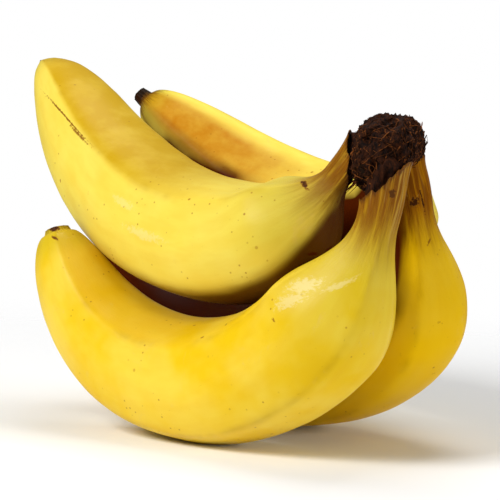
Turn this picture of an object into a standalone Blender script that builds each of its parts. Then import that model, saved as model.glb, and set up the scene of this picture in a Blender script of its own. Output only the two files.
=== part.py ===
"""A bunch of four bananas on one dried crown, resting on the bellies of the two lower ones.

Metres, +Z up.  The crown is at +X, the tips point to -X, and the two rows run along Y.
Each banana is one lofted body: a thin neck, a five-sided body and a small dried blossom end.
"""
import math

import bpy
import numpy as np

MM = 0.001
GAP = 0.3 * MM                 # clearance between bodies that press on each other
REST_DEPTH = 0.6 * MM          # how far each resting belly is flattened

GIRTH = 20.0 * MM              # body radius of an average banana
LENGTH = 180.0 * MM            # centreline of an average banana, neck mouth to tip

NECK_RADIUS = 6.4 * MM
NECK_LENGTH = 11.5 * MM        # straight thin neck before it swells
SHOULDER_LENGTH = 37.5 * MM    # from the neck to full girth
NECK_ROOT_LENGTH = 4.0 * MM    # average neck inside the crown, trimmed to its surface
TAPER_SHARE = 0.54             # share of the length that narrows to the tip
TAPER_START_POWER = 1.7        # higher keeps the girth further along
TAPER_END_POWER = 0.54         # lower makes a blunter tip
TIP_RADIUS = 3.0 * MM
STUB_LENGTH = 4.0 * MM         # dried blossom end
STUB_RADIUS = 2.6 * MM

INNER_RIDGE = math.radians(42)     # ridges either side of the flat inner face
OUTER_RIDGE = math.radians(127)
RIDGE_WIDTH = math.radians(15)
INNER_RIDGE_RISE = 0.07
OUTER_RIDGE_RISE = 0.05
BACK_RIDGE_RISE = 0.03
INNER_FACE_DIP = 0.06
INNER_FACE_WIDTH = math.radians(28)

AROUND = 30                    # points round a banana
ALONG = 36                     # rings along a banana
RING_CROWDING = 0.4            # how much closer the rings are at both ends
SPINE_STEPS = 400              # fine steps that the centreline is summed over

CURL_STEP = 10.0 * MM          # curl and sway are degrees turned per step
CURL_AT = (0.0, 0.25, 0.5, 0.75, 1.0)

LEAN = math.radians(2.0)       # tips down, to where the bunch balances

CROWN_CENTRE = (62.5, 2.0, 90.0)   # millimetres, before the lean, as each root below
CROWN_HALF = (12.0 * MM, 22.0 * MM, 12.5 * MM)
CROWN_TURN = math.radians(24)      # its long side runs from the front neck to the rear one
CROWN_SQUARENESS = 3.0
CROWN_LUMP = 0.06              # rise and fall of the torn surface, share of its radius
CROWN_AROUND = 30
CROWN_UP = 16

# root: neck mouth.  heading: way the banana sets off.  dive: angle below level.
# roll: lean of the plane it curls in.  twist: turn of its five sides.
# fat, long, neck, inset: shares of the girth, length, neck and shoulder, and neck root.
BANANAS = {
    "banana_lower_front": dict(
        root=(70.0, -11.5, 82.5), heading=177, dive=80, roll=1, twist=-13,
        curl=(6.5, 8.0, 8.0, 10.0, 7.5), sway=0.1, fat=1.0, long=1.01, neck=1.0, inset=1.0),
    "banana_lower_rear": dict(
        root=(58.8, 16.7, 83.3), heading=243, dive=107, roll=72, twist=-9,
        curl=(4.0, 14.5, 4.0, 8.0, 9.0), sway=-0.15, fat=1.03, long=1.04, neck=1.0, inset=1.0),
    "banana_upper_front": dict(
        root=(51.3, 4.0, 89.2), heading=192, dive=55, roll=24, twist=-23,
        curl=(9.3, 10.0, 4.5, 2.5, -6.2), sway=0.55, fat=1.0, long=1.04, neck=0.75, inset=1.5),
    "banana_upper_rear": dict(
        root=(56.5, 19.5, 92.0), heading=119, dive=38, roll=-46, twist=7,
        curl=(2.5, 7.5, 9.0, 5.5, -1.5), sway=-0.25, fat=0.98, long=0.98, neck=1.0, inset=1.0),
}
RESTING = ("banana_lower_front", "banana_lower_rear")

PEEL_COLOUR = (0.86, 0.58, 0.05, 1.0)
CROWN_COLOUR = (0.05, 0.02, 0.012, 1.0)


def clear_scene():
    for item in list(bpy.data.objects):
        bpy.data.objects.remove(item, do_unlink=True)


def new_collection(name, parent):
    made = bpy.data.collections.new(name)
    parent.children.link(made)
    return made


def new_material(name, colour, roughness):
    made = bpy.data.materials.new(name)
    made.use_nodes = True
    shader = made.node_tree.nodes["Principled BSDF"]
    shader.inputs["Base Color"].default_value = colour
    shader.inputs["Roughness"].default_value = roughness
    made.diffuse_color = colour
    return made


def smoothstep(value):
    held = np.clip(value, 0.0, 1.0)
    return held * held * (3.0 - 2.0 * held)


def wrapped(angle):
    return np.arctan2(np.sin(angle), np.cos(angle))


def section(angle):
    """Radius share round the banana; angle 0 faces the inside of the curve."""
    share = np.ones_like(angle)
    ridges = (
        (INNER_RIDGE, INNER_RIDGE_RISE), (-INNER_RIDGE, INNER_RIDGE_RISE),
        (OUTER_RIDGE, OUTER_RIDGE_RISE), (-OUTER_RIDGE, OUTER_RIDGE_RISE),
        (math.pi, BACK_RIDGE_RISE))
    for place, rise in ridges:
        share += rise * np.exp(-(wrapped(angle - place) / RIDGE_WIDTH) ** 2)
    return share - INNER_FACE_DIP * np.exp(-(wrapped(angle) / INNER_FACE_WIDTH) ** 2)


def ring_radius(along, length, girth, neck):
    """Radius at a distance along the banana; below zero is the hidden neck root."""
    swell = smoothstep((along - NECK_LENGTH * neck) / (SHOULDER_LENGTH * neck))
    body = NECK_RADIUS + (girth - NECK_RADIUS) * swell
    taper = length * TAPER_SHARE
    gone = np.clip((along - length + taper) / taper, 0.0, 1.0)
    keep = (1.0 - gone ** TAPER_START_POWER) ** TAPER_END_POWER
    radius = TIP_RADIUS + (body - TIP_RADIUS) * keep
    stub = np.clip((along - length) / STUB_LENGTH, 0.0, 1.0)
    return radius + (STUB_RADIUS - TIP_RADIUS) * stub


def ring_places(length, inset):
    """Distances of the rings, closer together towards the neck and the tip."""
    share = np.linspace(0.0, 1.0, ALONG)
    share = share - RING_CROWDING * np.sin(2.0 * math.pi * share) / (2.0 * math.pi)
    body = share * length
    return np.concatenate(([-NECK_ROOT_LENGTH * inset], body, [length + STUB_LENGTH]))


def leaned(vector):
    x, y, z = vector
    return np.array([
        x * math.cos(LEAN) - z * math.sin(LEAN), y, x * math.sin(LEAN) + z * math.cos(LEAN)])


def start_frame(spec):
    """Unit vectors at the neck mouth: onwards, towards the inside, and across."""
    heading = math.radians(spec["heading"])
    dive = math.radians(spec["dive"])
    roll = math.radians(spec["roll"])
    flat = np.array([math.cos(heading), math.sin(heading), 0.0])
    up = np.array([0.0, 0.0, 1.0])
    onward = flat * math.cos(dive) - up * math.sin(dive)
    inside = flat * math.sin(dive) + up * math.cos(dive)
    across = np.cross(onward, inside)
    inside = inside * math.cos(roll) + across * math.sin(roll)
    onward, inside = leaned(onward), leaned(inside)
    return onward, inside, np.cross(onward, inside)


def centreline(spec, places, length):
    """Points and frames at each place, from the turn rates summed along the way."""
    onward, inside, across = start_frame(spec)
    fine = np.linspace(0.0, 1.0, SPINE_STEPS + 1)
    turn_steps = length / CURL_STEP
    rate = np.radians(np.interp((fine[1:] + fine[:-1]) / 2.0, CURL_AT, spec["curl"]))
    turn = np.concatenate(([0.0], np.cumsum(rate * turn_steps / SPINE_STEPS)))
    lean = math.radians(spec["sway"]) * turn_steps * fine
    ahead = np.outer(np.cos(turn), onward) + np.outer(np.sin(turn), inside)
    ahead = ahead * np.cos(lean)[:, None] + np.outer(np.sin(lean), across)
    inner = np.outer(np.cos(turn), inside) - np.outer(np.sin(turn), onward)
    middle = (ahead[1:] + ahead[:-1]) / 2.0 * length / SPINE_STEPS
    points = np.concatenate(([np.zeros(3)], np.cumsum(middle, axis=0)))
    share = np.clip(places / length, 0.0, 1.0)
    beyond = places - share * length
    at = np.column_stack([np.interp(share, fine, points[:, k]) for k in range(3)])
    go = np.column_stack([np.interp(share, fine, ahead[:, k]) for k in range(3)])
    side = np.column_stack([np.interp(share, fine, inner[:, k]) for k in range(3)])
    at = at + go * beyond[:, None] + spec["at"]
    return at, side, np.cross(go, side)


def banana_points(spec, grow):
    """Rings of surface points of one banana, grown outwards by a clearance."""
    length = LENGTH * spec["long"]
    places = ring_places(length, spec["inset"])
    at, side, across = centreline(spec, places, length)
    radius = ring_radius(places, length, GIRTH * spec["fat"], spec["neck"])
    angle = np.linspace(0.0, 2.0 * math.pi, AROUND, endpoint=False)
    turned = angle + math.radians(spec["twist"])
    outline = np.outer(radius, section(angle)) + grow
    spread = side[:, None, :] * np.cos(turned)[None, :, None]
    spread = spread + across[:, None, :] * np.sin(turned)[None, :, None]
    return at[:, None, :] + outline[:, :, None] * spread, at


def loft(name, rings, start, end, collection):
    """One closed body through rings of points, closed at both ends by a fan."""
    count, around = rings.shape[0], rings.shape[1]
    points = [tuple(p) for p in rings.reshape(-1, 3)] + [tuple(start), tuple(end)]
    faces = []
    for i in range(count - 1):
        for j in range(around):
            k = (j + 1) % around
            faces.append((i * around + j, i * around + k,
                          (i + 1) * around + k, (i + 1) * around + j))
    last = (count - 1) * around
    for j in range(around):
        k = (j + 1) % around
        faces.append((count * around, k, j))
        faces.append((count * around + 1, last + j, last + k))
    mesh = bpy.data.meshes.new(name)
    mesh.from_pydata(points, [], faces)
    mesh.update()
    made = bpy.data.objects.new(name, mesh)
    collection.objects.link(made)
    return made


def settle():
    """Place the bananas so that both lower ones press on the surface, and centre the bunch."""
    specs = {name: dict(spec) for name, spec in BANANAS.items()}
    lowest = {}
    for name, spec in specs.items():
        spec["at"] = leaned(np.array(spec["root"]) * MM)
        lowest[name] = banana_points(spec, 0.0)[0][:, :, 2].min()
    lift = -REST_DEPTH - lowest[RESTING[0]]
    for name, spec in specs.items():
        own = -REST_DEPTH - lowest[name] if name in RESTING else lift
        spec["at"] = spec["at"] + np.array([0.0, 0.0, own])
    centre = leaned(np.array(CROWN_CENTRE) * MM) + np.array([0.0, 0.0, lift])
    shown = [banana_points(spec, 0.0)[0][1:].reshape(-1, 3) for spec in specs.values()]
    shown.append(crown_points(centre, 0.0).reshape(-1, 3))
    points = np.concatenate(shown)
    middle = (points.min(axis=0) + points.max(axis=0)) / 2.0
    shift = np.array([-middle[0], -middle[1], 0.0])
    for spec in specs.values():
        spec["at"] = spec["at"] + shift
    return specs, centre + shift


def banana(name, spec, grow, collection):
    rings, at = banana_points(spec, grow)
    return loft(name, rings, at[0], at[-1], collection)


def crown_points(centre, grow):
    """Rings of the torn, lumpy crown: a squarish ball with low waves over it."""
    rise = np.linspace(-math.pi / 2.0, math.pi / 2.0, CROWN_UP + 2)[1:-1]
    turn = np.linspace(0.0, 2.0 * math.pi, CROWN_AROUND, endpoint=False)
    up, around = np.meshgrid(rise, turn, indexing="ij")
    way = np.stack([np.cos(up) * np.cos(around), np.cos(up) * np.sin(around), np.sin(up)], axis=-1)
    half = np.array(CROWN_HALF)
    power = CROWN_SQUARENESS
    reach = (np.abs(way / half) ** power).sum(axis=-1) ** (-1.0 / power)
    wave = np.sin(3.0 * around + 4.0 * up) + np.sin(5.0 * around - 3.0 * up + 1.0)
    reach = reach * (1.0 + CROWN_LUMP * 0.5 * wave * np.cos(up)) + grow
    x, y, z = np.moveaxis(way * reach[..., None], -1, 0)
    turned_x = x * math.cos(CROWN_TURN) - y * math.sin(CROWN_TURN)
    turned_y = x * math.sin(CROWN_TURN) + y * math.cos(CROWN_TURN)
    return centre + np.stack([turned_x, turned_y, z], axis=-1)


def crown(name, centre, grow, collection):
    rings = crown_points(centre, grow)
    bottom = rings[0].mean(axis=0) - np.array([0.0, 0.0, grow])
    top = rings[-1].mean(axis=0) + np.array([0.0, 0.0, grow])
    return loft(name, rings, bottom, top, collection)


def box(name, low, high, collection):
    x0, y0, z0 = low
    x1, y1, z1 = high
    points = [(x, y, z) for z in (z0, z1) for y in (y0, y1) for x in (x0, x1)]
    faces = [(0, 2, 3, 1), (4, 5, 7, 6), (0, 1, 5, 4), (2, 6, 7, 3), (0, 4, 6, 2), (1, 3, 7, 5)]
    mesh = bpy.data.meshes.new(name)
    mesh.from_pydata(points, [], faces)
    mesh.update()
    made = bpy.data.objects.new(name, mesh)
    collection.objects.link(made)
    return made


def cut(body, tool):
    change = body.modifiers.new("cut_" + tool.name, "BOOLEAN")
    change.operation = "DIFFERENCE"
    change.solver = "EXACT"
    change.object = tool


def hide_cutter(item):
    item.hide_render = True
    item.display_type = "WIRE"


def build():
    clear_scene()
    home = bpy.context.scene.collection
    parts = new_collection("bunch_of_bananas", home)
    cutters = new_collection("cutters", home)
    specs, centre = settle()
    body = crown("crown", centre, 0.0, parts)
    body.data.materials.append(new_material("crown_fibre", CROWN_COLOUR, 0.95))

    floor = box("below_rest", (-0.2, -0.2, -0.05), (0.2, 0.2, 0.0), cutters)
    tools = [crown("space_crown", centre, GAP, cutters)]
    hide_cutter(floor)
    for name, spec in specs.items():
        body = banana(name, spec, 0.0, parts)
        body.data.materials.append(new_material(name + "_peel", PEEL_COLOUR, 0.45))
        for tool in tools:
            cut(body, tool)
        if name in RESTING:
            cut(body, floor)
        tools.append(banana("space_" + name, spec, GAP, cutters))
    for tool in tools:
        hide_cutter(tool)


build()
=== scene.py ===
"""Looks of a bunch of bananas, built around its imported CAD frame.  Metres, +Z up.

Each banana and the crown get a detailed mesh in the place of their plain CAD solid.
"""
import math

import bpy
import numpy as np
from mathutils import Matrix, Vector, noise
from mathutils.bvhtree import BVHTree


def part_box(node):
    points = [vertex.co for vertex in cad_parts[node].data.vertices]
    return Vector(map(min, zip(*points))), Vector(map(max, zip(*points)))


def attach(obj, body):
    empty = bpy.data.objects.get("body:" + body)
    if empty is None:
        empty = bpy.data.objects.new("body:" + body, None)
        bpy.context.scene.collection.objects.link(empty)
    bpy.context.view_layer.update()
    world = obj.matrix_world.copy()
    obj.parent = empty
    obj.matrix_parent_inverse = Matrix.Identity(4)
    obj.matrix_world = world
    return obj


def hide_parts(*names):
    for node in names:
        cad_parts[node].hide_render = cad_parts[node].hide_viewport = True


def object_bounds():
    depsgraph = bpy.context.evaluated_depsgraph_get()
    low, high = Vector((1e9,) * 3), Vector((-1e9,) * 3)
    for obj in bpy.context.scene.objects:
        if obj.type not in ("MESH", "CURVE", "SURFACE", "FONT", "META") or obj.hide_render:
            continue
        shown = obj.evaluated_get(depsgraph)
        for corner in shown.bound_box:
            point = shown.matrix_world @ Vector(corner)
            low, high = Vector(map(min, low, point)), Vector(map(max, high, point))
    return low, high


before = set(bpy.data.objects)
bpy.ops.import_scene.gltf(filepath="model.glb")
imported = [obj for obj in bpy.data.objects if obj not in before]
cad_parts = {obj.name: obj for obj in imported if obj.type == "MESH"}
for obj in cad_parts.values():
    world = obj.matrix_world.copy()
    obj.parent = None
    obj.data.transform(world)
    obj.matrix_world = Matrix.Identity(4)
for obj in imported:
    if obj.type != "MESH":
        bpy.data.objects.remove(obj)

CAD_BOX = [list(corner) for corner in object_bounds()]

MM = 0.001

# ---- the bananas' sizes, as the CAD source has them -------------------------------------

GIRTH = 20.0 * MM
LENGTH = 180.0 * MM
NECK_RADIUS = 6.4 * MM
NECK_LENGTH = 11.5 * MM
SHOULDER_LENGTH = 37.5 * MM
TAPER_SHARE = 0.54
TAPER_START_POWER = 1.7
TAPER_END_POWER = 0.54
TIP_RADIUS = 3.0 * MM
STUB_LENGTH = 4.0 * MM
STUB_RADIUS = 2.6 * MM
INNER_RIDGE = math.radians(42)
OUTER_RIDGE = math.radians(127)
CURL_STEP = 10.0 * MM
CURL_AT = (0.0, 0.25, 0.5, 0.75, 1.0)
LEAN = math.radians(2.0)
REST_DEPTH = 0.6 * MM

# root (mm), heading, dive, roll, twist, curl and sway: as in the CAD source.
# fat, long, neck: girth, length and neck length, as shares of the sizes above.
# side: which Y side of its CAD box the banana's belly touches.
# rim, slant, slant_at: how far the torn neck rim lies from the neck mouth, in mm and degrees.
# pinch, pinch_at: share of the neck's radius missing on one side, where it was squeezed.
# tip: radius, length of the dried stub and its end radius, in mm.
# dents: distance along (mm), angle, half length (mm), half width (degrees) and depth (mm).
BANANAS = {
    "banana_lower_front": dict(
        root=(70.0, -11.5, 82.5), heading=177, dive=80, roll=1, twist=-13,
        curl=(6.5, 8.0, 8.0, 10.0, 7.5), sway=0.1, fat=1.0, long=1.01, neck=1.0, side=0,
        rim=0.0, slant=7.0, slant_at=165, pinch=0.0, pinch_at=0, tip=(4.2, 1.6, 3.6),
        dents=()),
    "banana_lower_rear": dict(
        root=(58.8, 16.7, 83.3), heading=243, dive=107, roll=72, twist=-9,
        curl=(4.0, 14.5, 4.0, 8.0, 9.0), sway=-0.15, fat=1.03, long=1.04, neck=1.0, side=1,
        rim=-7.0, slant=3.0, slant_at=-33, pinch=-0.26, pinch_at=147, tip=(3.4, 3.6, 2.6),
        dents=()),
    "banana_upper_front": dict(
        root=(51.3, 4.0, 89.2), heading=192, dive=55, roll=24, twist=-23,
        curl=(9.3, 10.0, 4.5, 2.5, -6.2), sway=0.55, fat=1.0, long=1.04, neck=0.75, side=0,
        rim=2.6, slant=8.0, slant_at=-5, pinch=0.8, pinch_at=165, tip=(2.0, 3.4, 1.5),
        dents=((38, 0, 17, 62, 4.2),)),
    "banana_upper_rear": dict(
        root=(56.5, 19.5, 92.0), heading=119, dive=38, roll=-46, twist=7,
        curl=(2.5, 7.5, 9.0, 5.5, -1.5), sway=-0.25, fat=0.98, long=0.98, neck=1.0, side=1,
        rim=0.0, slant=2.0, slant_at=180, pinch=0.0, pinch_at=0, tip=(3.2, 4.0, 2.6),
        dents=((45, 126, 26, 50, 3.0),)),
}
RESTING = ("banana_lower_front", "banana_lower_rear")

# The five ridges and the hollow between the inner two: angle and height as a radius share.
RIDGES = (
    (INNER_RIDGE, 0.07), (-INNER_RIDGE, 0.07), (OUTER_RIDGE, 0.05), (-OUTER_RIDGE, 0.05),
    (math.pi, 0.03))
RIDGE_WIDTH = 15            # degrees
HOLLOW = 0.06
HOLLOW_WIDTH = 28           # degrees

# ---- the detailed peel ------------------------------------------------------------------

ALONG = 210                 # rings along a detailed banana
AROUND = 128                # points round it
RING_CROWDING = 0.72        # how much closer the rings lie at both ends
RIM_FADE = 26.0 * MM        # how far along the rim's slant dies out
LIP = 0.8 * MM              # thickness of the peel at the torn rim
LIP_STEP = 0.2 * MM         # how far inside the rim its inner edge lies
MOUTH_DEPTH = 7.0 * MM      # how far down the neck the peel's inside is made
FLARE = 0.5 * MM            # how far the rim stands out
FLARE_FADE = 1.6 * MM
SQUEEZE_POWER = 1.5         # sharpness of a squeezed side
SQUEEZE_START = 2.0 * MM    # full squeeze up to here from the neck mouth
SQUEEZE_FADE = 22.0 * MM
TIP_HOLLOW = 0.5 * MM       # depth of the dimple in the stub's end
TIP_HOLLOW_SHARE = 0.55     # its radius as a share of the stub's

# Layers of noise: height in mm, size of the features and shift of the pattern.
TORN_RIM = ((1.6, 0.42, 0.0), (0.9, 0.15, 5.0))
SWELLS = ((0.30, 24.0 * MM, 0.0), (0.09, 8.0 * MM, 3.0))
FIBRES = ((1.0, 0.50, 0.0), (0.4, 0.22, 7.0))
GRAIN_LENGTH = 90.0 * MM    # length of the fibres' pattern along the banana
SUNK = 0.2                  # mm that the peel lies under the CAD shape
NECK_FIBRE = 0.50           # height of the fibres in mm at the neck, tip and body
TIP_FIBRE = 0.55
BODY_FIBRE = 0.02
NECK_FADE = 13.0 * MM
TIP_FADE = 5.0 * MM

# Fine lines on the ridges: angle, half width in degrees and height in mm.
RIDGE_LINES = (
    (INNER_RIDGE, 4.5, 0.22), (-INNER_RIDGE, 4.5, 0.22), (OUTER_RIDGE, 5, 0.18),
    (-OUTER_RIDGE, 5, 0.18), (math.pi, 5, 0.12))
LINE_COLOUR_WIDTH = 3.5     # degrees that the tinted line on a ridge spans
GRAIN_STEP = 100.0 * MM     # distance along the banana for one unit of its grain

FIT_ALONG = 300             # rings and points that measure a plain banana's box
FIT_AROUND = 90
PLAIN_ALONG = 50            # rings and points of the plain bananas that block the view
PLAIN_AROUND = 30
# How open each point is sets the painted shade in the crevices between the bananas.
SIGHT_LINES = 60            # directions in which each point looks for its neighbours
SIGHT_START = 1.2 * MM
SIGHT_REACH = 90.0 * MM
LEAST_WEIGHT = 0.05         # directions flatter than this are left out
EVERY_RING = 5              # only every fifth ring and fourth point looks
EVERY_POINT = 4
DEEP_SIGHT = 0.28           # share of open directions at which a crevice is darkest
OPEN_SIGHT = 0.68           # and from which it counts as open


def smoothstep(value):
    """A soft step from zero to one, for values from zero to one."""
    held = np.clip(value, 0.0, 1.0)
    return held * held * (3.0 - 2.0 * held)


def unit(vectors):
    """The same vectors with a length of one."""
    return vectors / (np.linalg.norm(vectors, axis=-1, keepdims=True) + 1e-9)


def wrapped(angle):
    """The same angle between minus and plus half a turn."""
    return np.arctan2(np.sin(angle), np.cos(angle))


def bump(angle, place, width):
    """A soft peak of height one at an angle; width in degrees."""
    return np.exp(-(wrapped(angle - place) / math.radians(width)) ** 2)


def ring_radius(along, spec, tip=TIP_RADIUS, stub_length=STUB_LENGTH, stub=STUB_RADIUS):
    """Radius at a distance along the banana, before its five sides."""
    length = LENGTH * spec["long"]
    swell = smoothstep((along - NECK_LENGTH * spec["neck"]) / (SHOULDER_LENGTH * spec["neck"]))
    body = NECK_RADIUS + (GIRTH * spec["fat"] - NECK_RADIUS) * swell
    taper = length * TAPER_SHARE
    gone = np.clip((along - length + taper) / taper, 0.0, 1.0)
    keep = (1.0 - gone ** TAPER_START_POWER) ** TAPER_END_POWER
    radius = tip + (body - tip) * keep
    dried = np.clip((along - length) / stub_length, 0.0, 1.0)
    return radius + (stub - tip) * dried


def section(angle):
    """Radius share round the banana; angle 0 faces the inside of the curve."""
    rise = sum(height * bump(angle, place, RIDGE_WIDTH) for place, height in RIDGES)
    return 1.0 + rise - HOLLOW * bump(angle, 0.0, HOLLOW_WIDTH)


def leaned(vector):
    """A vector turned by the lean that brings both lower bananas down to the floor."""
    x, y, z = vector
    return np.array([
        x * math.cos(LEAN) - z * math.sin(LEAN), y, x * math.sin(LEAN) + z * math.cos(LEAN)])


def start_frame(spec):
    """Unit vectors at the neck mouth: onwards and towards the inside of the curve."""
    heading = math.radians(spec["heading"])
    dive = math.radians(spec["dive"])
    roll = math.radians(spec["roll"])
    flat = np.array([math.cos(heading), math.sin(heading), 0.0])
    up = np.array([0.0, 0.0, 1.0])
    onward = flat * math.cos(dive) - up * math.sin(dive)
    inside = flat * math.sin(dive) + up * math.cos(dive)
    inside = inside * math.cos(roll) + np.cross(onward, inside) * math.sin(roll)
    return leaned(onward), leaned(inside)


class Spine:
    """The banana's centreline: where it is and how it faces at a distance along it."""

    STEPS = 400             # along the centreline

    def __init__(self, name, spec):
        onward, inside = start_frame(spec)
        across = np.cross(onward, inside)
        self.name = name
        self.spec = spec
        self.length = LENGTH * spec["long"]
        self.fine = np.linspace(0.0, 1.0, self.STEPS + 1)
        middle = (self.fine[1:] + self.fine[:-1]) / 2.0
        turns = self.length / CURL_STEP
        rate = np.radians(np.interp(middle, CURL_AT, spec["curl"])) * turns / self.STEPS
        turn = np.concatenate(([0.0], np.cumsum(rate)))
        lean = math.radians(spec["sway"]) * turns * self.fine
        ahead = np.outer(np.cos(turn), onward) + np.outer(np.sin(turn), inside)
        self.ahead = ahead * np.cos(lean)[:, None] + np.outer(np.sin(lean), across)
        self.inner = np.outer(np.cos(turn), inside) - np.outer(np.sin(turn), onward)
        steps = (self.ahead[1:] + self.ahead[:-1]) / 2.0 * self.length / self.STEPS
        self.points = np.concatenate(([np.zeros(3)], np.cumsum(steps, axis=0)))
        self.place = np.zeros(3)
        self.place = self.fit_to_box()

    def read(self, table, share):
        """Vectors from one row per step of the centreline, at shares of its length."""
        return np.stack([np.interp(share, self.fine, table[:, k]) for k in range(3)], axis=-1)

    def surface(self, along, angle, radius):
        """Points at each distance along, angle round and radius; the arrays match in shape."""
        share = np.clip(along / self.length, 0.0, 1.0)
        go = self.read(self.ahead, share)
        side = self.read(self.inner, share)
        across = np.cross(go, side)
        turned = (angle + math.radians(self.spec["twist"]))[..., None]
        out = side * np.cos(turned) + across * np.sin(turned)
        beyond = (along - share * self.length)[..., None]
        return self.place + self.read(self.points, share) + go * beyond + out * radius[..., None]

    def fit_to_box(self):
        """The move that makes the plain banana fill the box of its CAD node."""
        along = np.linspace(0.0, self.length + STUB_LENGTH, FIT_ALONG)
        along, angle = np.meshgrid(along, np.linspace(0.0, 2.0 * math.pi, FIT_AROUND))
        radius = ring_radius(along, self.spec) * section(angle)
        points = self.surface(along, angle, radius).reshape(-1, 3)
        low, high = points.min(axis=0), points.max(axis=0)
        box_low, box_high = (np.array(corner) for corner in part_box(self.name))
        move = box_low - low
        if self.spec["side"]:
            move[1] = box_high[1] - high[1]
        if self.name in RESTING:
            move[2] = -REST_DEPTH - low[2]
        return move


# ---- meshes -----------------------------------------------------------------------------

def new_object(name, points, faces):
    """A smooth-shaded mesh object in the scene."""
    mesh = bpy.data.meshes.new(name)
    mesh.from_pydata([tuple(p) for p in points], [], faces)
    mesh.update()
    mesh.polygons.foreach_set("use_smooth", [True] * len(mesh.polygons))
    made = bpy.data.objects.new(name, mesh)
    bpy.context.scene.collection.objects.link(made)
    return made


def tube_faces(rows, around, first=0):
    """Quads between rings of points, facing out."""
    faces = []
    for i in range(rows - 1):
        for j in range(around):
            k = (j + 1) % around
            a, b = first + i * around, first + (i + 1) * around
            faces.append((a + j, a + k, b + k, b + j))
    return faces


def closed_faces(rows, around, start, end):
    """A closed tube whose ends are fans to the points numbered start and end."""
    last = (rows - 1) * around
    faces = tube_faces(rows, around)
    for j in range(around):
        k = (j + 1) % around
        faces.append((start, k, j))
        faces.append((end, last + j, last + k))
    return faces


def give_attribute(made, name, values):
    """A value or a vector at every point, for the materials to read."""
    vector = values.ndim == 2
    kind = "FLOAT_VECTOR" if vector else "FLOAT"
    data = made.data.attributes.new(name, kind, "POINT").data
    data.foreach_set("vector" if vector else "value", values.ravel().astype(float))


def noise_at(points, size, shift=0.0):
    """Smooth noise from -1 to 1 at each point, with features about size across."""
    flat = points.reshape(-1, 3) / size + shift
    values = [noise.noise(Vector(p)) for p in flat]
    return np.array(values).reshape(points.shape[:-1])


def layered(points, layers):
    """Several layers of noise, each with a height, a size and a shift."""
    return sum(height * noise_at(points, size, shift) for height, size, shift in layers)


def rim_at(spec, angle):
    """Where the torn rim of the neck lies, along the banana."""
    slant = spec["slant"] * np.cos(angle - math.radians(spec["slant_at"]))
    ring = np.stack([np.cos(angle), np.sin(angle), np.full_like(angle, spec["rim"])], axis=-1)
    return (spec["rim"] - slant + layered(ring, TORN_RIM)) * MM


def squeezed(spec, angle):
    """One at the middle of the side where the neck was squeezed, zero on the far side."""
    facing = np.cos(angle - math.radians(spec["pinch_at"]))
    return np.clip(facing, 0.0, 1.0) ** SQUEEZE_POWER


def dented(along, angle, spec):
    """How far the broad dents of one banana go in, in metres."""
    depth = np.zeros_like(along)
    for place, at, half_length, half_width, deep in spec["dents"]:
        lengthways = np.exp(-((along / MM - place) / half_length) ** 2)
        depth += deep * lengthways * bump(angle, math.radians(at), half_width)
    return depth * MM


def relief(points, along, angle, length):
    """How far the peel rises from the smooth shape, in metres."""
    grain = np.stack([np.cos(angle), np.sin(angle), along / GRAIN_LENGTH], axis=-1)
    neck = np.exp(-np.clip(along, 0.0, None) / NECK_FADE)
    tip = np.exp(-np.clip(length - along, 0.0, None) / TIP_FADE)
    fibre_height = NECK_FIBRE * neck + TIP_FIBRE * tip + BODY_FIBRE
    line = sum(height * bump(angle, place, width) for place, width, height in RIDGE_LINES)
    line *= np.clip(1.0 - neck - tip, 0.0, 1.0)
    return (layered(points, SWELLS) - SUNK + layered(grain, FIBRES) * fibre_height + line) * MM


def banana_grid(spine):
    """Distance along, angle and radius of every point of the detailed banana, and its rim."""
    spec = spine.spec
    tip, stub_length, stub = (value * MM for value in spec["tip"])
    share = np.linspace(0.0, 1.0, ALONG)
    share = share - RING_CROWDING * np.sin(2.0 * math.pi * share) / (2.0 * math.pi)
    base = share * (spine.length + stub_length)
    angle = np.linspace(0.0, 2.0 * math.pi, AROUND, endpoint=False)
    rim = rim_at(spec, angle)
    base, angle = np.meshgrid(base, angle, indexing="ij")
    rim = np.broadcast_to(rim, base.shape)
    fade = 1.0 - smoothstep(base / RIM_FADE)
    along = base + rim * fade
    radius = ring_radius(along, spec, tip, stub_length, stub) * section(angle)
    near = 1.0 - smoothstep((along - SQUEEZE_START) / SQUEEZE_FADE)
    radius = radius * (1.0 - spec["pinch"] * squeezed(spec, angle) * near)
    flare = np.exp(-(along - rim) / FLARE_FADE) * FLARE
    return along, angle, radius + flare - dented(along, angle, spec), rim


def ended(grid):
    """A grid with its first row twice more and its last row once more, for the closed ends."""
    return np.concatenate((grid[:1], grid[:1], grid, grid[-1:]))


def banana_points(spine):
    """Points of the whole closed peel, and where each one lies on it, row by row."""
    along, angle, radius, rim = banana_grid(spine)
    points = spine.surface(along, angle, radius)
    rise = relief(points, along, angle, spine.length)
    points = spine.surface(along, angle, radius + rise)
    thinner = np.maximum(radius[0] - LIP, MM)
    inner_lip = spine.surface(along[0] + LIP_STEP, angle[0], thinner)
    thinnest = np.maximum(radius[0] - LIP * 2.0, MM)
    inside = spine.surface(along[0] + MOUTH_DEPTH, angle[0], thinnest)
    hollow = spine.surface(along[-1] - TIP_HOLLOW, angle[-1], radius[-1] * TIP_HOLLOW_SHARE)
    rows = np.concatenate(([inside, inner_lip], points, [hollow]))
    return rows, ended(along), ended(angle), ended(rim), ended(radius)


def plain_tree(spines):
    """Plain bananas as one set of surfaces that rays can be cast against."""
    points, faces = [], []
    for spine in spines:
        along = np.linspace(0.0, spine.length, PLAIN_ALONG)
        angle = np.linspace(0.0, 2.0 * math.pi, PLAIN_AROUND, endpoint=False)
        along, angle = np.meshgrid(along, angle, indexing="ij")
        rings = spine.surface(along, angle, ring_radius(along, spine.spec) * section(angle))
        faces.extend(tube_faces(PLAIN_ALONG, PLAIN_AROUND, len(points)))
        points.extend(tuple(p) for p in rings.reshape(-1, 3))
    return BVHTree.FromPolygons(points, faces)


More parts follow.
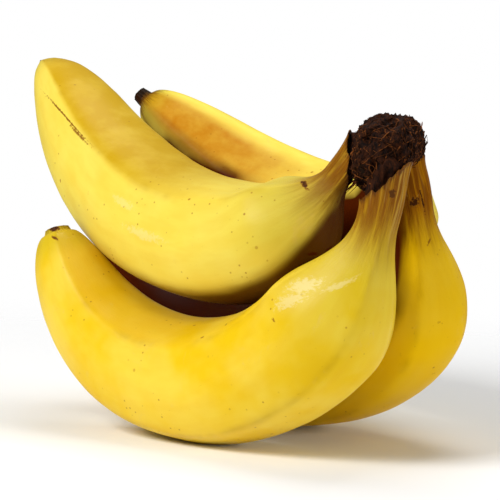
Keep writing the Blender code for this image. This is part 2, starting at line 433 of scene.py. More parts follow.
def even_directions(count):
    """Unit vectors spread evenly over all directions."""
    step = np.arange(count) + 0.5
    up = 1.0 - 2.0 * step / count
    turn = step * math.pi * (3.0 - math.sqrt(5.0))
    flat = np.sqrt(1.0 - up * up)
    return np.stack([flat * np.cos(turn), flat * np.sin(turn), up], axis=-1)


def openness(points, out, tree):
    """Share of the surroundings that each point can see past the other bananas."""
    ways = even_directions(SIGHT_LINES)
    shares = []
    for place, normal in zip(points, out):
        weight = np.clip(ways @ normal, 0.0, None)
        seen = 0.0
        start = Vector(place + normal * SIGHT_START)
        for k in np.nonzero(weight > LEAST_WEIGHT)[0]:
            if tree.ray_cast(start, Vector(ways[k]), SIGHT_REACH)[0] is None:
                seen += weight[k]
        shares.append(seen / weight.sum())
    return np.array(shares)


def crevice_shade(spine, rows, tree):
    """Strength of the painted shade in the crevices: one deep between neighbouring bananas, zero
    in the open.
    """
    few = rows[::EVERY_RING, ::EVERY_POINT]
    out = unit(few - few.mean(axis=1, keepdims=True))
    share = openness(few.reshape(-1, 3), out.reshape(-1, 3), tree).reshape(few.shape[:2])
    ring, point = np.arange(rows.shape[0]), np.arange(AROUND)
    some = point[::EVERY_POINT]
    wide = np.stack([np.interp(point, some, row, period=AROUND) for row in share])
    full = np.stack([np.interp(ring, ring[::EVERY_RING], column) for column in wide.T], axis=-1)
    return 1.0 - smoothstep((full - DEEP_SIGHT) / (OPEN_SIGHT - DEEP_SIGHT))


def skin_values(spine, along, angle, rim, radius):
    """The named values at every point of the peel."""
    around = wrapped(angle)
    look = LOOKS[spine.name]
    # Mask for the painted shade on the inner face of the curve.
    centre, half = (math.radians(value) for value in look["face_span"])
    soft = look["face_soft"]
    face = 1.0 - smoothstep((np.abs(around - centre) - half + soft / 2.0) / soft)
    lined = (INNER_RIDGE, -INNER_RIDGE, OUTER_RIDGE, -OUTER_RIDGE)
    ridge = sum(bump(angle, place, LINE_COLOUR_WIDTH) for place in lined)
    grain = np.stack([np.cos(angle), np.sin(angle), along / GRAIN_STEP], axis=-1)
    skin = np.stack([along / MM, around * radius / MM, np.zeros_like(along)], axis=-1)
    return {
        "along_mm": along / MM, "tip_mm": (spine.length - along) / MM,
        "rim_mm": (along - rim) / MM, "inner": face, "ridge": ridge,
        "grain": grain, "skin_mm": skin}


def banana(spine, tree):
    """The detailed peel of one banana; tree holds its neighbours."""
    name = spine.name
    rows, along, angle, rim, radius = banana_points(spine)
    rows = np.clip(rows, CAD_BOX[0], CAD_BOX[1])
    count = rows.shape[0]
    ends = [rows[0].mean(axis=0), rows[-1].mean(axis=0)]
    points = np.concatenate((rows.reshape(-1, 3), ends))
    faces = closed_faces(count, AROUND, count * AROUND, count * AROUND + 1)
    made = new_object(name + "_skin", points, faces)
    values_by_name = skin_values(spine, along, angle, rim, radius)
    # Painted shade: the colour darkens where the other bananas hide the surroundings.
    values_by_name["deep"] = crevice_shade(spine, rows, tree)
    for key, values in values_by_name.items():
        flat = values.reshape(count * AROUND, -1)
        flat = np.concatenate((flat, flat[:1], flat[-1:]))
        give_attribute(made, key, flat if flat.shape[1] == 3 else flat[:, 0])
    made.data.materials.append(peel_material(name))
    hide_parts(name)
    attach(made, "root")


# ---- crown ------------------------------------------------------------------------------

CROWN_HALF = (9.6 * MM, 20.0 * MM, 11.4 * MM)
CROWN_TURN = math.radians(24)
CROWN_SQUARENESS = 3.0
CROWN_OUTSIDE = np.array([0.97, 0.25, 0.0])     # the side where it narrows downwards
CROWN_WAIST = 1.5 * MM      # height above its middle where it starts to narrow
NARROWING = 0.8             # share of its reach that it loses on that side
NARROWING_FADE = 9.0 * MM
CROWN_SLOPE = np.array([0.83, 0.56, 0.0])       # its top slopes down away from this side
CROWN_SLOPING = 0.14        # share of its height that it loses there
SLOPE_FADE = 15.0 * MM
CORE_UP = 90                # rings and points of the crown's core
CORE_AROUND = 150

# The torn surface, in layers of noise: height in mm, size and shift.
CRESTS = ((1.7, 6.5 * MM, 0.0), (1.1, 2.4 * MM, 9.0))
CREST_SHARPNESS = 2.2
CREST_STRETCH = 0.45        # heights are shrunk by this, so the crests run up and down
CREST_SUNK = 1.7            # mm that they lie under the smooth crown
GRIT = ((0.35, 1.1 * MM, 4.0),)

PLUG_ROWS = 40              # rings and points of the plug in each neck
PLUG_AROUND = 70
PLUG_SPAN = (-9.0, 8.5)     # where it starts and ends along the banana, in mm
PLUG_RADIUS = 5.3 * MM
PLUG_MIDDLE = -0.5 * MM
PLUG_HALF = 9.3 * MM        # distance from its middle at which it has tapered away
PLUG_LEAST = 0.05
PLUG_RAGGED = 0.6           # how torn it is, against the crown

SEED = 11
STRAND_POINTS = 9
STRAND_ENDS = (-0.55, 1.0)  # its start and end; it is thickest at 0 and a point at 1
STRAND_LEAST = 0.06         # least share of its thickness
STRAND_WIDE = 1.5           # its section: a flat diamond
STRAND_FLAT = 0.7
STRAND_ASIDE = np.array([0.31, 0.27, 0.91])     # a direction that few strands run along

STRANDS = 1500              # dried fibres lying over the crown
STRAND_HEIGHTS = (-0.75, 0.93)      # sine of the direction in which one starts
STRAND_DROP = (0.10, 0.45)  # angle it runs down over the crown
STRAND_STRAY = 0.25         # usual angle that it strays sideways
WAVE_ANGLE = 0.08
WAVE_TURN = (3.0, 9.0)
WAVE_START = (0.0, 6.0)
LIFTED_SHARE = 0.06         # share of the strands whose start stands out
LIFT = (0.6, 1.8)           # how far, in mm
STRAND_RISE = (-0.25, 0.15)         # height over the torn surface, in mm
STRAND_THICK = (0.08, 0.20)         # in mm
STRAND_DARKNESS = 1.6       # power that makes most strands dark

NECK_STRANDS = 60           # fibres from the crown into each neck
NECK_STRAND_START = -8.0 * MM       # where one starts along the banana
NECK_STRAND_OUT = 6.5 * MM  # and how far from its centreline
NECK_STRAND_INWARD = (0.1, 0.4)     # share of the way its start moves to the crown's centre
NECK_STRAND_END = (-2.0, 3.0)       # where it ends past the torn rim, in mm
NECK_STRAND_REACH = (2.0, 5.4)      # how far from the centreline it ends, in mm
NECK_STRAND_SWAY = 0.5      # usual bow, in mm
NECK_STRAND_THICK = (0.10, 0.30)    # in mm
NECK_STRAND_DARKNESS = 1.4


def crown_centre():
    """Centre of the crown's CAD box."""
    low, high = (np.array(corner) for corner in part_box("crown"))
    return (low + high) / 2.0


def crown_reach(up, around):
    """Surface point of the smooth crown in a direction, from its centre."""
    way = np.stack([np.cos(up) * np.cos(around), np.cos(up) * np.sin(around), np.sin(up)], axis=-1)
    power = CROWN_SQUARENESS
    reach = (np.abs(way / np.array(CROWN_HALF)) ** power).sum(axis=-1) ** (-1.0 / power)
    x, y, z = np.moveaxis(way * reach[..., None], -1, 0)
    turn_x = x * math.cos(CROWN_TURN) - y * math.sin(CROWN_TURN)
    turn_y = x * math.sin(CROWN_TURN) + y * math.cos(CROWN_TURN)
    points = np.stack([turn_x, turn_y, z], axis=-1)
    beside = points @ CROWN_OUTSIDE
    narrower = NARROWING * smoothstep((CROWN_WAIST - z) / NARROWING_FADE)
    drawn_in = np.clip(beside, 0.0, None) * narrower
    points = points - drawn_in[..., None] * CROWN_OUTSIDE
    sloped = smoothstep(-points @ CROWN_SLOPE / SLOPE_FADE) * np.clip(z, 0.0, None)
    points[..., 2] -= CROWN_SLOPING * sloped
    return points


def torn(points):
    """Rise and fall of the dried surface: stretched downwards, with sharp crests."""
    stretched = points * np.array([1.0, 1.0, CREST_STRETCH])
    crests = 0.0
    for height, size, shift in CRESTS:
        valley = np.abs(noise_at(stretched, size, shift))
        crests = crests + height * (1.0 - CREST_SHARPNESS * valley)
    return (crests + layered(points, GRIT) - CREST_SUNK) * MM


def core_points():
    """Rings of points of the crown's torn core."""
    up = np.linspace(-math.pi / 2.0, math.pi / 2.0, CORE_UP + 2)[1:-1]
    around = np.linspace(0.0, 2.0 * math.pi, CORE_AROUND, endpoint=False)
    up, around = np.meshgrid(up, around, indexing="ij")
    smooth = crown_reach(up, around)
    out = smooth / np.linalg.norm(smooth, axis=-1, keepdims=True)
    return crown_centre() + smooth + out * torn(smooth)[..., None]


def plug_points(spine):
    """A torn tapering plug from inside the crown into the mouth of one neck."""
    along = np.linspace(*PLUG_SPAN, PLUG_ROWS) * MM
    angle = np.linspace(0.0, 2.0 * math.pi, PLUG_AROUND, endpoint=False)
    along, angle = np.meshgrid(along, angle, indexing="ij")
    gone = (np.abs(along - PLUG_MIDDLE) / PLUG_HALF) ** 4
    radius = PLUG_RADIUS * np.clip(1.0 - gone, PLUG_LEAST, 1.0)
    radius = radius * (1.0 - max(spine.spec["pinch"], 0.0) * squeezed(spine.spec, angle))
    points = spine.surface(along, angle, radius)
    return spine.surface(along, angle, radius + torn(points) * PLUG_RAGGED)


def strand(path, thick):
    """Rings of a thin four-sided tapering strand along a path."""
    ahead = unit(np.gradient(path, axis=0))
    side = unit(np.cross(ahead, STRAND_ASIDE))
    over = np.cross(ahead, side)
    share = np.linspace(*STRAND_ENDS, len(path))
    taper = thick * np.clip(1.0 - share ** 4, STRAND_LEAST, 1.0)
    turn = np.arange(4) * math.pi / 2.0
    spread = side[:, None] * np.cos(turn)[None, :, None] * STRAND_WIDE
    spread = spread + over[:, None] * np.sin(turn)[None, :, None] * STRAND_FLAT
    return path[:, None] + spread * taper[:, None, None]


def surface_strands(dice):
    """Paths of fibres that run down over the crown, some with their ends lifted."""
    paths = []
    for _ in range(STRANDS):
        start_up = math.asin(dice.uniform(*STRAND_HEIGHTS))
        start_around = dice.uniform(0.0, 2.0 * math.pi)
        drop = dice.uniform(*STRAND_DROP)
        share = np.linspace(0.0, 1.0, STRAND_POINTS)
        stray = dice.normal(0.0, STRAND_STRAY) * share
        wave = np.sin(share * dice.uniform(*WAVE_TURN) + dice.uniform(*WAVE_START))
        around = start_around + stray + WAVE_ANGLE * wave
        base = crown_reach(start_up - drop * share, around)
        out = base / np.linalg.norm(base, axis=-1, keepdims=True)
        lifted = dice.random() < LIFTED_SHARE
        lift = dice.uniform(*LIFT) * (1.0 - share) ** 2 if lifted else 0.0 * share
        rise = torn(base) + (dice.uniform(*STRAND_RISE) + lift) * MM
        paths.append(crown_centre() + base + out * rise[:, None])
    return paths


def neck_strands(spine, dice):
    """Paths of fibres from the crown's side down into the mouth of a neck."""
    paths = []
    centre = crown_centre()
    for _ in range(NECK_STRANDS):
        angle = np.array([dice.uniform(-math.pi, math.pi)])
        along = rim_at(spine.spec, angle) + dice.uniform(*NECK_STRAND_END) * MM
        reach = np.array([dice.uniform(*NECK_STRAND_REACH) * MM])
        end = spine.surface(along, angle, reach)[0]
        along, reach = np.array([NECK_STRAND_START]), np.array([NECK_STRAND_OUT])
        start = spine.surface(along, angle, reach)[0]
        start = start + (centre - start) * dice.uniform(*NECK_STRAND_INWARD)
        share = np.linspace(0.0, 1.0, STRAND_POINTS)[:, None]
        path = start * (1.0 - share) + end * share
        sway = np.array([dice.normal(0.0, NECK_STRAND_SWAY) * MM for _ in range(3)])
        paths.append(path + sway * np.sin(share * math.pi))
    return paths


def make_crown(spines):
    """The dried crown: a torn core, a plug in each neck and fibres over both."""
    dice = np.random.default_rng(SEED)
    points, faces, tones = [], [], []

    def add(rows, tone):
        """Adds one closed tube; tone is how light it is."""
        first = sum(len(block) for block in points)
        count, around = rows.shape[:2]
        ends = [rows[0].mean(axis=0), rows[-1].mean(axis=0)]
        points.append(np.concatenate((rows.reshape(-1, 3), ends)))
        total = count * around
        shell = closed_faces(count, around, total, total + 1)
        faces.extend(tuple(first + v for v in face) for face in shell)
        tones.append(np.full(total + 2, tone))

    add(core_points(), 0.0)
    for spine in spines:
        add(plug_points(spine), 0.0)
    for path in surface_strands(dice):
        thick = dice.uniform(*STRAND_THICK) * MM
        add(strand(path, thick), dice.uniform(0.0, 1.0) ** STRAND_DARKNESS)
    for spine in spines:
        for path in neck_strands(spine, dice):
            thick = dice.uniform(*NECK_STRAND_THICK) * MM
            add(strand(path, thick), dice.uniform(0.0, 1.0) ** NECK_STRAND_DARKNESS)
    points = np.clip(np.concatenate(points), CAD_BOX[0], CAD_BOX[1])
    made = new_object("crown_fibres", points, faces)
    give_attribute(made, "tone", np.concatenate(tones))
    made.data.materials.append(crown_material())
    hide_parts("crown")
    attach(made, "root")


# ---- materials --------------------------------------------------------------------------

class Web:
    """Short calls that build one material's nodes."""

    def __init__(self, name):
        self.material = bpy.data.materials.new(name)
        self.material.use_nodes = True
        self.nodes = self.material.node_tree.nodes
        self.links = self.material.node_tree.links
        self.shader = self.nodes["Principled BSDF"]

    def put(self, socket, value):
        """Links an output to a socket, or sets the socket's own value."""
        if isinstance(value, bpy.types.NodeSocket):
            self.links.new(value, socket)
        else:
            socket.default_value = value

    def attribute(self, name, output="Fac"):
        node = self.nodes.new("ShaderNodeAttribute")
        node.attribute_name = name
        return node.outputs[output]

    def place(self):
        """Object coordinates, in metres."""
        return self.nodes.new("ShaderNodeTexCoord").outputs["Object"]

    def math(self, operation, first, second=0.0, third=0.0):
        node = self.nodes.new("ShaderNodeMath")
        node.operation = operation
        for socket, value in zip(node.inputs, (first, second, third)):
            self.put(socket, value)
        return node.outputs[0]

    def times(self, *values):
        result = values[0]
        for value in values[1:]:
            result = self.math("MULTIPLY", result, value)
        return result

    def span(self, value, low, high, start=0.0, end=1.0):
        """Maps low..high smoothly to start..end, held at both ends."""
        node = self.nodes.new("ShaderNodeMapRange")
        node.interpolation_type = "SMOOTHSTEP"
        for socket, item in zip(node.inputs, (value, low, high, start, end)):
            self.put(socket, item)
        return node.outputs[0]

    def stretch(self, vector, scale):
        """A vector with each of its axes scaled."""
        node = self.nodes.new("ShaderNodeMapping")
        self.put(node.inputs["Vector"], vector)
        node.inputs["Scale"].default_value = scale
        return node.outputs[0]

    def noise(self, vector, scale, detail=3.0, roughness=0.55, warp=0.0):
        node = self.nodes.new("ShaderNodeTexNoise")
        self.put(node.inputs["Vector"], vector)
        node.inputs["Scale"].default_value = scale
        node.inputs["Detail"].default_value = detail
        node.inputs["Roughness"].default_value = roughness
        node.inputs["Distortion"].default_value = warp
        return node.outputs["Fac"]

    def spots(self, vector, scale):
        """Distance to the nearest of many scattered points, and a chance for each one."""
        node = self.nodes.new("ShaderNodeTexVoronoi")
        self.put(node.inputs["Vector"], vector)
        node.inputs["Scale"].default_value = scale
        split = self.nodes.new("ShaderNodeSeparateColor")
        self.links.new(node.outputs["Color"], split.inputs[0])
        return node.outputs["Distance"], split.outputs[0]

    def mix(self, factor, first, second):
        node = self.nodes.new("ShaderNodeMix")
        node.data_type = "RGBA"
        node.clamp_factor = True
        self.put(node.inputs[0], factor)
        for socket, value in ((node.inputs[6], first), (node.inputs[7], second)):
            self.put(socket, value if not isinstance(value, tuple) else (*value, 1.0))
        return node.outputs[2]

    def bump(self, height, distance, strength=1.0, normal=None):
        node = self.nodes.new("ShaderNodeBump")
        node.inputs["Strength"].default_value = strength
        node.inputs["Distance"].default_value = distance
        self.put(node.inputs["Height"], height)
        if normal is not None:
            self.put(node.inputs["Normal"], normal)
        return node.outputs[0]


# Colours: red, green and blue in linear light.
LEMON = (0.90, 0.72, 0.105)
YELLOW = (0.82, 0.545, 0.003)
GOLD = (0.74, 0.40, 0.001)
# The next two are painted shade, for the inner faces of the upper bananas.
SHADE_OLIVE = (0.58, 0.345, 0.003)
SHADE_AMBER = (0.47, 0.155, 0.0)
GREEN = (0.42, 0.34, 0.006)
OCHRE = (0.42, 0.165, 0.001)
TAN = (0.21, 0.062, 0.001)
CREAM = (0.72, 0.50, 0.12)
PALE = (0.88, 0.76, 0.36)
RUST = (0.34, 0.12, 0.006)
BROWN = (0.12, 0.036, 0.003)
SCAR = (0.055, 0.015, 0.002)
BLACK = (0.008, 0.004, 0.002)
# Painted shade, the dark red-brown of the crevices between the bananas.
CREVICE_SHADE = (0.065, 0.008, 0.0)

# lemon, base: least and most lemon, and gold all over.
# green, tan, cream: strength at the neck.
# face, face_colour: strength and colour of the painted shade on the inner face.
# face_span, face_soft: its middle and half width (degrees) and its edge's softness (radians).
# face_end: distances from the tip at which it starts and is full (mm).
# tip, black: length of the brown tip and darkness of its end.
# deep: strength of the painted shade in crevices; deep_end: where along the banana it is least and
# full (mm).
# gloss: specular level.
LOOKS = {
    "banana_lower_front": dict(
        lemon=(0.0, 0.55), base=0.12, green=0.45, tan=1.2, cream=0.35,
        face=0.6, face_colour=GOLD, face_span=(0, 42), face_end=(125, 60),
        face_soft=0.2, tip=0.2, black=0.35, deep=0.12, gloss=0.12),
    "banana_lower_rear": dict(
        lemon=(0.0, 0.25), base=0.5, green=0.1, tan=1.7, cream=0.05,
        face=0.5, face_colour=GOLD, face_span=(0, 42), face_end=(125, 45),
        face_soft=0.2, tip=1.0, black=1.0, deep=1.2, gloss=0.02),
    "banana_upper_front": dict(
        lemon=(0.75, 1.0), base=0.0, green=0.5, tan=1.15, cream=0.15,
        face=1.15, face_colour=SHADE_OLIVE, face_span=(0, 42), face_end=(150, 90),
        face_soft=0.16, tip=1.6, black=0.9, deep=0.95, deep_end=(100, 50), gloss=0.08),
    "banana_upper_rear": dict(
        lemon=(0.9, 1.0), base=0.0, green=0.2, tan=0.7, cream=0.2,
        face=1.0, face_colour=SHADE_AMBER, face_span=(-15, 34), face_end=(115, 35),
        face_soft=0.5, tip=3.0, black=1.6, deep=1.7, gloss=0.03),
}

# Brown marks: distance along and round the peel in mm, half length, half width, strength.
MARKS = {
    "banana_lower_front": (
        (2.0, -15.5, 1.6, 1.0, 0.9), (179.0, -6.2, 1.2, 0.7, 0.8),
        (182.8, -3.2, 1.5, 1.5, 1.0), (73.4, -11.1, 0.5, 0.9, 0.6),
        (83.8, -14.0, 0.9, 0.6, 0.5), (50.0, -22.6, 0.6, 0.8, 0.5)),
    "banana_lower_rear": (
        (8.0, -16.4, 1.6, 2.2, 1.0), (8.0, -19.8, 4.5, 0.6, 1.0), (19.7, -22.5, 0.7, 0.5, 0.6)),
    "banana_upper_front": (
        (16.5, -8.2, 0.8, 2.2, 0.95), (140.0, -14.6, 22.0, 0.30, 0.6),
        (128.0, -15.2, 8.0, 0.45, 0.6), (25.8, -39.9, 0.6, 1.4, 0.8),
        (23.9, -41.7, 0.8, 0.7, 0.8)),
}

# Pale waxy blotches, in the same terms.
BLOTCHES = {
    "banana_lower_front": (
        (36.0, -17.0, 4.5, 2.6, 0.5), (42.0, -20.5, 5.0, 2.0, 0.45),
        (30.0, -21.0, 4.0, 1.2, 0.4)),
    "banana_upper_front": ((75.0, -28.0, 9.0, 1.6, 0.35), (88.0, -22.0, 6.0, 1.2, 0.3)),
}

# Where a colour starts and is full, in mm from the neck mouth, the tip or the torn rim.
NECK_GREEN = (62.0, 14.0)
NECK_BROWN = (27.0, 4.0)
TIP_GREEN = (13.0, 1.0)
RIM_BROWN = (1.6, 0.2)
NECK_ROUGH = (40.0, 4.0)

# Specks: scale of their pattern, size and chance of each and strength.
SPECKS = ((210.0, 0.14, 0.14, 0.8), (520.0, 0.22, 0.22, 0.6))
CHANCE_EDGE = 0.02
SPECK_CORE = 0.55           # share of a speck's size that has its full colour

MARK_EDGE = (0.55, 1.25)    # share of a mark's size at which it is full and gone
MARK_RAGGED = (-0.6, 0.8)   # how far its edge moves in and out, as such a share

CROWN_DARK = ((0.003, 0.001, 0.0005), (0.050, 0.012, 0.002))
CROWN_LIGHT = ((0.020, 0.005, 0.001), (0.34, 0.100, 0.018))
CROWN_ROUGHNESS = 0.78
CROWN_GLOSS = 0.10


def mark_factor(web, marks):
    """One where any of the named marks lies, with ragged edges."""
    skin = web.attribute("skin_mm", "Vector")
    ragged = web.noise(skin, 0.9, detail=4.0, roughness=0.7)
    total = 0.0
    for along, arc, half_length, half_width, strength in marks:
        moved = web.nodes.new("ShaderNodeVectorMath")
        moved.operation = "SUBTRACT"
        web.put(moved.inputs[0], skin)
        moved.inputs[1].default_value = (along, arc, 0.0)
        scaled = web.stretch(moved.outputs[0], (1.0 / half_length, 1.0 / half_width, 0.0))
        size = web.nodes.new("ShaderNodeVectorMath")
        size.operation = "LENGTH"
        web.put(size.inputs[0], scaled)
        moved_edge = web.span(ragged, 0.2, 0.8, *MARK_RAGGED)
        edge = web.math("ADD", size.outputs["Value"], moved_edge)
        factor = web.span(edge, *MARK_EDGE, strength, 0.0)
        total = web.math("MAXIMUM", total, factor)
    return total


def yellow_skin(web, look, grain):
    """Yellow with lemon patches and gold streaks, and painted shade on the inner face."""
    place = web.place()
    wide = web.noise(web.stretch(grain, (1.0, 1.0, 1.6)), 5.0, detail=2.0, roughness=0.5)
    mottled = web.span(web.noise(place, 42.0), 0.35, 0.65, *look["lemon"])
    colour = web.mix(mottled, YELLOW, LEMON)
    colour = web.mix(web.times(web.span(wide, 0.35, 0.7), 0.16), colour, GOLD)
    colour = web.mix(look["base"], colour, GOLD)
    # Painted shade on the inner face of the curve, strongest towards the tip.
    tipward = web.span(web.attribute("tip_mm"), *look["face_end"])
    smoke = web.noise(place, 70.0, detail=4.0, roughness=0.6)
    face = web.times(web.attribute("inner"), tipward, web.span(smoke, 0.3, 0.7, 0.65, 0.95))
    return web.mix(web.times(face, look["face"]), colour, look["face_colour"])


def greened(web, look, colour):
    """Green at the neck and just before the tip."""
    blush = web.noise(web.place(), 24.0, detail=2.0)
    near_neck = web.span(web.attribute("along_mm"), *NECK_GREEN)
    green = web.times(near_neck, web.span(blush, 0.25, 0.6, 0.45, 1.0), look["green"])
    colour = web.mix(green, colour, GREEN)
    near_tip = web.span(web.attribute("tip_mm"), *TIP_GREEN)
    return web.mix(web.times(near_tip, 0.45), colour, GREEN)


def browned_neck(web, look, colour, grain, fibres):
    """Ochre, tan and cream streaks at the neck."""
    neck = web.span(web.attribute("along_mm"), *NECK_BROWN)
    wide = web.stretch(grain, (1.0, 1.0, 1.3))
    broad = web.noise(wide, 3.2, roughness=0.6, warp=0.5)
    broad = web.span(broad, 0.36, 0.6)
    streak = web.span(fibres, 0.42, 0.66)
    colour = web.mix(web.times(neck, 0.7, look["tan"]), colour, OCHRE)
    colour = web.mix(web.times(neck, broad, 0.75, look["tan"]), colour, TAN)
    colour = web.mix(web.times(neck, streak, 0.35, look["tan"]), colour, TAN)
    pale = web.span(web.noise(grain, 5.0, roughness=0.6, warp=0.4), 0.54, 0.68)
    return web.mix(web.times(neck, pale, look["cream"]), colour, CREAM)


def worn(web, colour, grain):
    """Tinted ridges, a waxy bloom that is partly a painted sheen, specks and fine scuffs."""
    place = web.place()
    broken = web.span(web.noise(place, 60.0), 0.42, 0.68)
    colour = web.mix(web.times(web.attribute("ridge"), broken, 0.22), colour, TAN)
    # Pale cream patches: a waxy bloom, partly a painted sheen.
    upright = web.stretch(place, (1.0, 1.0, 0.6))
    bloom_and_sheen = web.noise(upright, 130.0, detail=5.0, roughness=0.7, warp=0.8)
    colour = web.mix(web.times(web.span(bloom_and_sheen, 0.60, 0.74), 0.30), colour, CREAM)
    for scale, size, chance, strength in SPECKS:
        distance, draw = web.spots(place, scale)
        patchy = web.span(web.noise(place, 55.0, detail=2.0), 0.46, 0.58)
        chosen = web.times(web.span(draw, chance, chance - CHANCE_EDGE), patchy)
        dot = web.span(distance, size, size * SPECK_CORE)
        colour = web.mix(web.times(dot, chosen, strength), colour, RUST)
    wide = web.stretch(grain, (1.0, 1.0, 2.6))
    scuff = web.noise(wide, 30.0, detail=5.0, roughness=0.7, warp=0.5)
    return web.mix(web.times(web.span(scuff, 0.66, 0.74), 0.35), colour, TAN)


def marked(web, name, colour):
    """The banana's own pale blotches and brown marks."""
    if name in BLOTCHES:
        colour = web.mix(mark_factor(web, BLOTCHES[name]), colour, PALE)
    if name in MARKS:
        mark = mark_factor(web, MARKS[name])
        colour = web.mix(web.times(mark, 1.5), colour, RUST)
        colour = web.mix(web.times(mark, mark), colour, SCAR)
    return colour


def dried_ends(web, look, colour, fibres):
    """The brown torn rim and the brown and black tip."""
    rim = web.math("ADD", web.attribute("rim_mm"), web.span(fibres, 0.3, 0.7, 1.0, -1.0))
    colour = web.mix(web.span(rim, *RIM_BROWN, 0.0, 0.85), colour, BROWN)
    end = web.math("ADD", web.attribute("tip_mm"), web.span(fibres, 0.3, 0.7, 1.6, -1.6))
    dry = min(0.9, look["black"])
    colour = web.mix(web.span(end, 1.6 * look["tip"], -0.4, 0.0, dry), colour, BROWN)
    burnt = web.span(web.times(end, look["black"]), 0.0, -1.4, 0.0, 0.95)
    return web.mix(burnt, colour, BLACK)


def peel_colour(web, name):
    """The whole colour of one banana's peel, from the skin up, with painted shade on its inner
    face and in its crevices.
    """
    look = LOOKS[name]
    grain = web.attribute("grain", "Vector")
    long_grain = web.stretch(grain, (1.0, 1.0, 0.9))
    fibres = web.noise(long_grain, 16.0, detail=4.0, roughness=0.65)
    colour = yellow_skin(web, look, grain)
    colour = greened(web, look, colour)
    colour = browned_neck(web, look, colour, grain, fibres)
    colour = worn(web, colour, grain)
    colour = marked(web, name, colour)
    colour = dried_ends(web, look, colour, fibres)
    # Painted shade: darker red-brown in the crevices between the bananas.
    deep = web.times(web.attribute("deep"), look["deep"])
    if "deep_end" in look:
        deep = web.times(deep, web.span(web.attribute("along_mm"), *look["deep_end"], 0.2, 1.0))
    return web.mix(deep, colour, CREVICE_SHADE)


def peel_material(name):
    """The peel of one banana: its colour, sheen, fibres near the neck and pores."""
    web = Web(name + "_peel")
    web.put(web.shader.inputs["Base Color"], peel_colour(web, name))
    place = web.place()
    smear = web.noise(place, 75.0, detail=4.0, roughness=0.6)
    web.put(web.shader.inputs["Roughness"], web.span(smear, 0.3, 0.7, 0.30, 0.44))
    web.shader.inputs["Specular IOR Level"].default_value = LOOKS[name]["gloss"]
    near_neck = web.span(web.attribute("along_mm"), *NECK_ROUGH, 0.12, 1.0)
    fibres = web.noise(web.attribute("grain", "Vector"), 26.0, detail=4.0, roughness=0.7)
    first = web.bump(web.times(fibres, near_neck), distance=0.35 * MM, strength=0.9)
    pores = web.noise(place, 1400.0, detail=2.0, roughness=0.6)
    second = web.bump(pores, distance=0.03 * MM, strength=0.5, normal=first)
    web.put(web.shader.inputs["Normal"], second)
    return web.material


def crown_material():
    """Dark dried fibre, lighter where tone is high."""
    web = Web("crown_fibre")
    place = web.place()
    upright = web.stretch(place, (1.0, 1.0, 0.4))
    mottled = web.noise(upright, 900.0, detail=4.0, roughness=0.75)
    dark = web.mix(web.span(mottled, 0.35, 0.7), *CROWN_DARK)
    light = web.mix(web.span(mottled, 0.3, 0.7), *CROWN_LIGHT)
    colour = web.mix(web.span(web.attribute("tone"), 0.2, 1.0), dark, light)
    web.put(web.shader.inputs["Base Color"], colour)
    web.shader.inputs["Roughness"].default_value = CROWN_ROUGHNESS
    web.shader.inputs["Specular IOR Level"].default_value = CROWN_GLOSS
    fine = web.noise(web.stretch(place, (1.0, 1.0, 0.3)), 1500.0, roughness=0.7)
    web.put(web.shader.inputs["Normal"], web.bump(fine, distance=0.25 * MM, strength=0.8))
    return web.material


# ---- floor, light and camera ------------------------------------------------------------

CAMERA_AZIMUTH = math.radians(33.95)
CAMERA_ELEVATION = math.radians(5.23)
CAMERA_ROLL = math.radians(1.66)
CAMERA_DISTANCE = 0.8
CAMERA_LENS = 191.4         # in mm, as the sensor
SENSOR_WIDTH = 36.0
TARGET_FROM_CENTRE = (0.0389, -0.0452, 0.0036)
FLOOR_SIZE = 6.0
FLOOR_GREY = (0.92, 0.92, 0.92, 1.0)
FLOOR_FADE = (0.10, 0.36)   # distances at which it starts to fade out and is gone
SURROUND_SEEN = 1.0         # the surround's brightness as the camera sees it
SURROUND_CAST = 0.22        # and as it lights the bunch
LIGHT_TARGET = (0.0, 0.0, 0.05)

# Lights: name, place, size and power.
LIGHTS = (
    ("key", (-0.30, -0.88, 0.74), 0.5, 12.0),
    ("top", (-0.1, 0.35, 0.95), 0.5, 4.0),
    ("rim", (0.95, 0.10, 0.22), 0.35, 4.0))


def aim(item, place, target, roll=0.0):
    """Puts a camera or a light somewhere and points it at a target."""
    way = Vector(target) - Vector(place)
    turn = way.to_track_quat("-Z", "Y").to_matrix().to_4x4() @ Matrix.Rotation(roll, 4, "Z")
    item.matrix_world = Matrix.Translation(place) @ turn


def make_camera():
    """A long lens from the front right, a little above the floor."""
    low, high = (Vector(corner) for corner in CAD_BOX)
    target = (low + high) / 2.0 + Vector(TARGET_FROM_CENTRE)
    back = Vector((math.sin(CAMERA_AZIMUTH) * math.cos(CAMERA_ELEVATION),
                   -math.cos(CAMERA_AZIMUTH) * math.cos(CAMERA_ELEVATION),
                   math.sin(CAMERA_ELEVATION)))
    camera = bpy.data.objects.new("camera", bpy.data.cameras.new("camera"))
    bpy.context.scene.collection.objects.link(camera)
    camera.data.lens = CAMERA_LENS
    camera.data.sensor_width = SENSOR_WIDTH
    aim(camera, target + back * CAMERA_DISTANCE, target, CAMERA_ROLL)
    bpy.context.scene.camera = camera


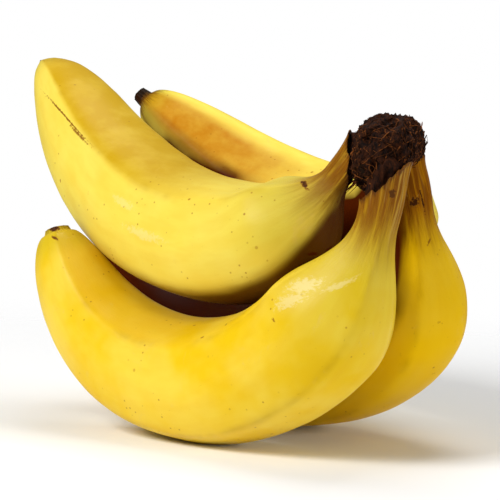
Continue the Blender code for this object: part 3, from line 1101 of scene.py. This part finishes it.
def make_light(name, place, size, power):
    """A square soft light that points at the bunch."""
    data = bpy.data.lights.new(name, "AREA")
    data.size = size
    data.energy = power
    light = bpy.data.objects.new(name, data)
    bpy.context.scene.collection.objects.link(light)
    aim(light, place, LIGHT_TARGET)


def make_floor():
    """Pale paper that fades into the surround, so that only a soft shadow is seen."""
    bpy.ops.mesh.primitive_plane_add(size=FLOOR_SIZE, location=(0.0, 0.0, 0.0))
    floor = bpy.context.object
    floor.name = "floor"
    web = Web("floor_paper")
    web.shader.inputs["Base Color"].default_value = FLOOR_GREY
    web.shader.inputs["Roughness"].default_value = 0.9
    floor.data.materials.append(web.material)
    distance = web.nodes.new("ShaderNodeVectorMath")
    distance.operation = "LENGTH"
    web.put(distance.inputs[0], web.place())
    clear = web.nodes.new("ShaderNodeBsdfTransparent")
    blend = web.nodes.new("ShaderNodeMixShader")
    web.put(blend.inputs[0], web.span(distance.outputs["Value"], *FLOOR_FADE))
    web.links.new(web.shader.outputs[0], blend.inputs[1])
    web.links.new(clear.outputs[0], blend.inputs[2])
    web.links.new(blend.outputs[0], web.nodes["Material Output"].inputs["Surface"])


def make_world():
    """A white surround, brighter to the camera than to the bunch."""
    world = bpy.data.worlds.new("studio")
    bpy.context.scene.world = world
    world.use_nodes = True
    nodes = world.node_tree.nodes
    path = nodes.new("ShaderNodeLightPath")
    level = nodes.new("ShaderNodeMapRange")
    level.inputs["To Min"].default_value = SURROUND_CAST
    level.inputs["To Max"].default_value = SURROUND_SEEN
    world.node_tree.links.new(path.outputs["Is Camera Ray"], level.inputs["Value"])
    sky = nodes["Background"]
    sky.inputs["Color"].default_value = (1.0, 1.0, 1.0, 1.0)
    world.node_tree.links.new(level.outputs[0], sky.inputs["Strength"])


def make_stage():
    """Floor, surround and lights."""
    make_floor()
    make_world()
    for light in LIGHTS:
        make_light(*light)


def main():
    """Builds the stage, the four bananas and the crown."""
    make_camera()
    make_stage()
    bpy.context.scene.view_settings.view_transform = "Standard"
    spines = [Spine(name, spec) for name, spec in BANANAS.items()]
    for spine in spines:
        banana(spine, plain_tree([other for other in spines if other is not spine]))
    make_crown(spines)


main()
